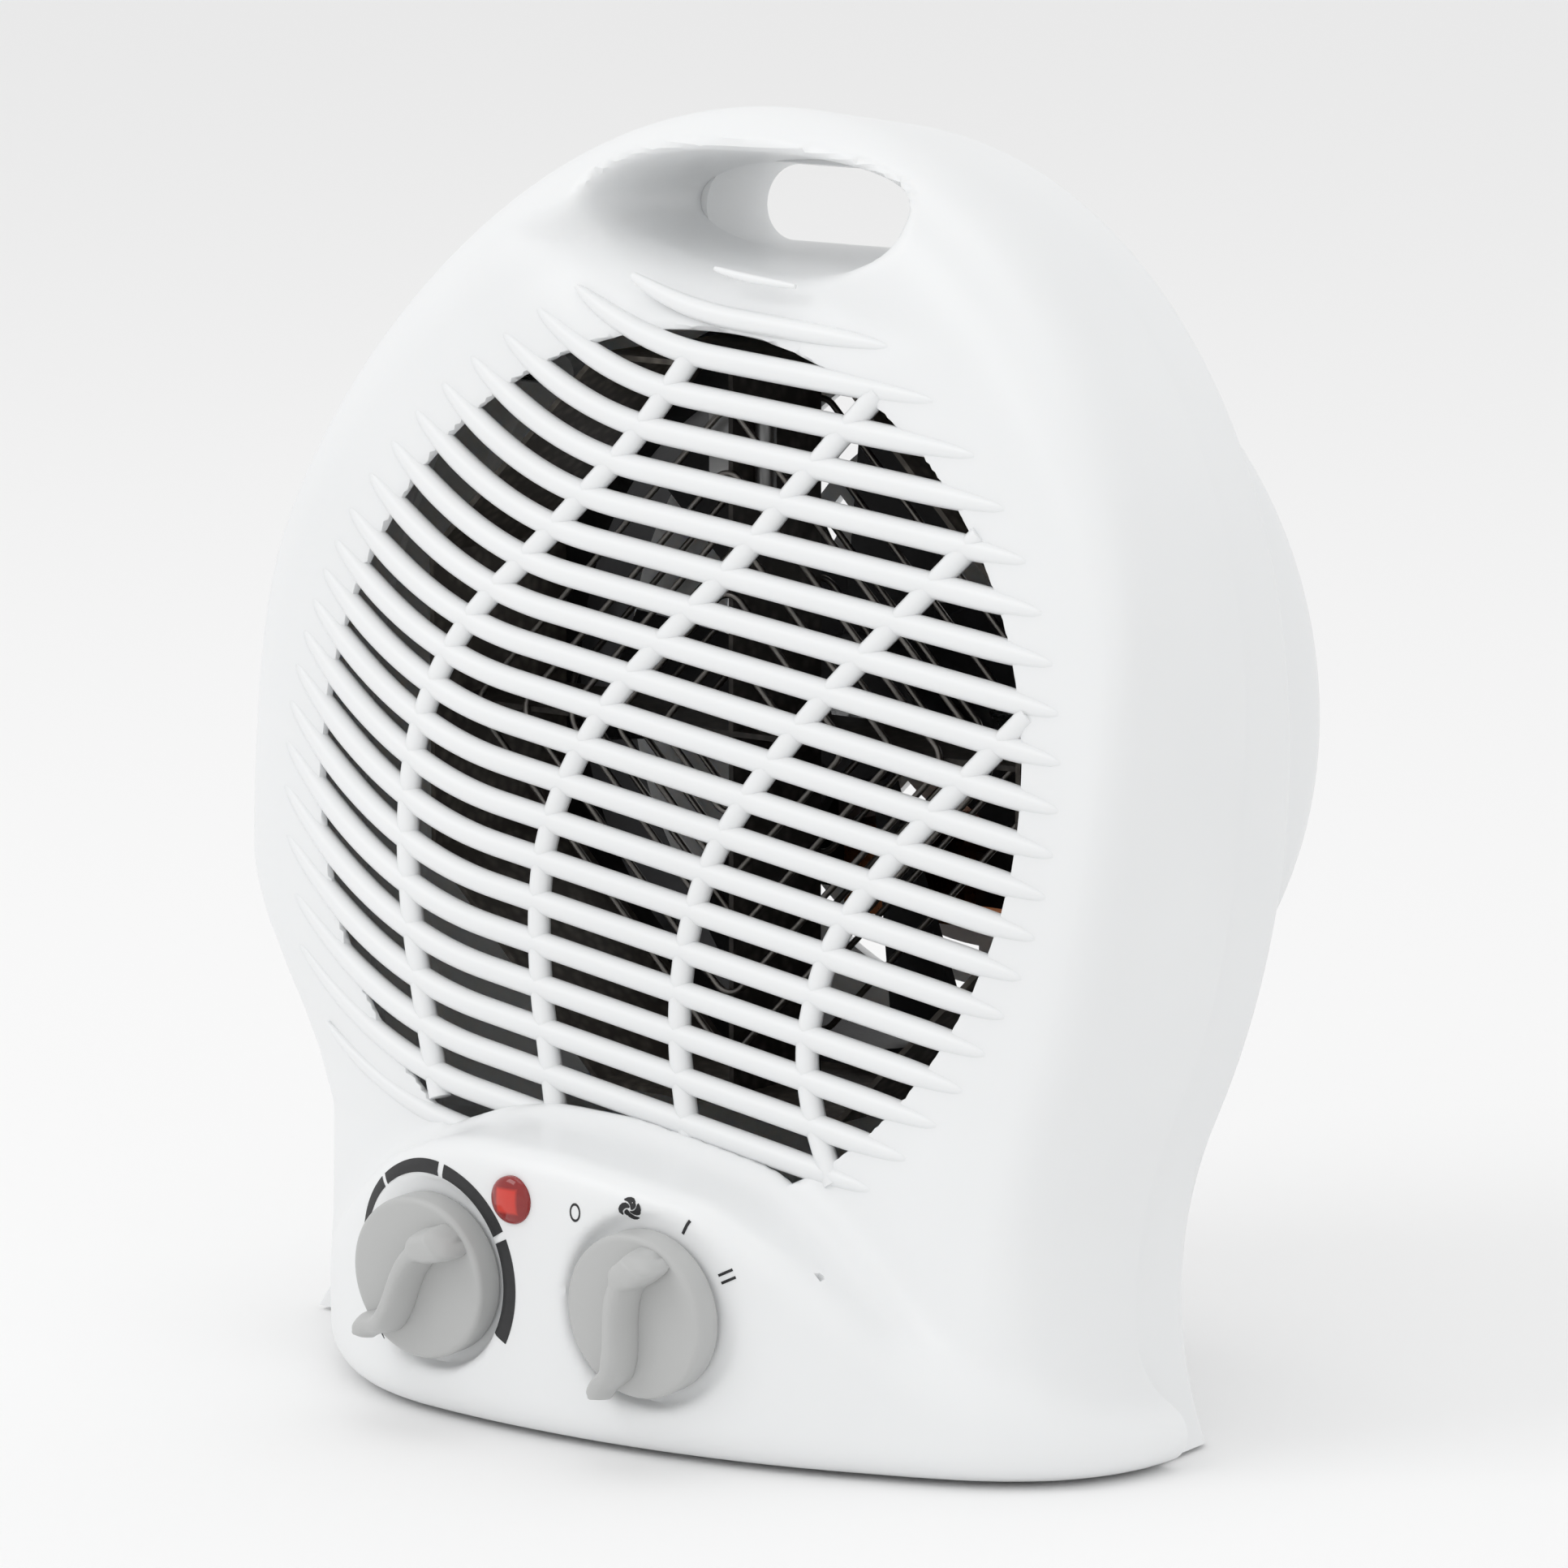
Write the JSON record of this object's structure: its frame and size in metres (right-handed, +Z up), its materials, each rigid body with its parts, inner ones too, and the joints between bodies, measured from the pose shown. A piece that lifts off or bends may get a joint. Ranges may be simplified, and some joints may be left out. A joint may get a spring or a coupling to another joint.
{
  "type": "upright fan heater",
  "caption": "Upright portable fan heater: rounded two-part plastic case that leans back, with a slatted round outlet, a carrying hole and a control chin with turning knobs and a lamp.",
  "frame": {"origin": "on the floor, under the middle of the heater's overall box", "axes": "+Z up; -Y is the front, where the outlet grille and the knobs face; +X is to the right seen from the front"},
  "size_m": [0.206, 0.148, 0.2333],
  "materials": {
    "white_plastic": "satin, slightly translucent white",
    "knob_plastic": "satin light grey",
    "black_rubber": "matt",
    "screw_steel": "zinc plated",
    "shaft_steel": "ground",
    "lamp_red": "gloss translucent red",
    "neon_glass": "clear",
    "mica": "layered, slightly glossy",
    "resistance_wire": "oxidised",
    "control_plastic": "matt black",
    "terminal_plastic": "matt cream",
    "cutout_metal": "satin",
    "shroud_steel": "galvanised, dull grey",
    "fan_plastic": "matt black",
    "lamination_steel": "stacked laminations",
    "coil_copper": "enamelled winding",
    "bracket_alloy": "die-cast",
    "bronze": "sintered"
  },
  "bodies": {
    "case": {"front_shell": "white_plastic", "rear_shell": "white_plastic", "case_screws": "screw_steel", "rubber_pads": "black_rubber", "cord_grommet": "black_rubber", "terminal_block": "terminal_plastic", "thermostat_body": "control_plastic", "selector_switch": "control_plastic", "control_screws": "screw_steel", "lamp_lens": "lamp_red", "neon_lamp": "neon_glass", "mica_duct": "mica", "mica_board_upright": "mica", "mica_board_level": "mica", "heating_wire_front": "resistance_wire", "heating_wire_back": "resistance_wire", "thermal_cutout": "cutout_metal", "thermal_fuse": "cutout_metal", "fan_shroud": "shroud_steel", "motor_stator": "lamination_steel", "motor_coil": "coil_copper", "front_bracket": "bracket_alloy", "front_bush": "bronze", "rear_bracket": "bracket_alloy", "rear_bush": "bronze", "motor_screws": "screw_steel"},
    "fan": {"fan_impeller": "fan_plastic", "impeller_clip": "shaft_steel", "motor_shaft": "shaft_steel", "motor_rotor": "lamination_steel"},
    "thermostat_control": {"thermostat_knob": "knob_plastic", "thermostat_spindle": "shaft_steel"},
    "selector_control": {"selector_knob": "knob_plastic", "selector_spindle": "shaft_steel"}
  },
  "joints": [
    {"name": "fan_spin", "type": "hinge", "parent": "case", "child": "fan", "pos_m": [0, 0.036, 0.12], "axis": [0, 1, 0], "continuous": true},
    {"name": "thermostat_turn", "type": "hinge", "parent": "case", "child": "thermostat_control", "pos_m": [-0.0247, -0.0622, 0.027], "axis": [0, -0.9981, -0.061], "range_deg": [-230, 40]},
    {"name": "selector_turn", "type": "hinge", "parent": "case", "child": "selector_control", "pos_m": [0.0247, -0.0622, 0.027], "axis": [0, -0.9981, -0.061], "range_deg": [-30, 60]}
  ]
}
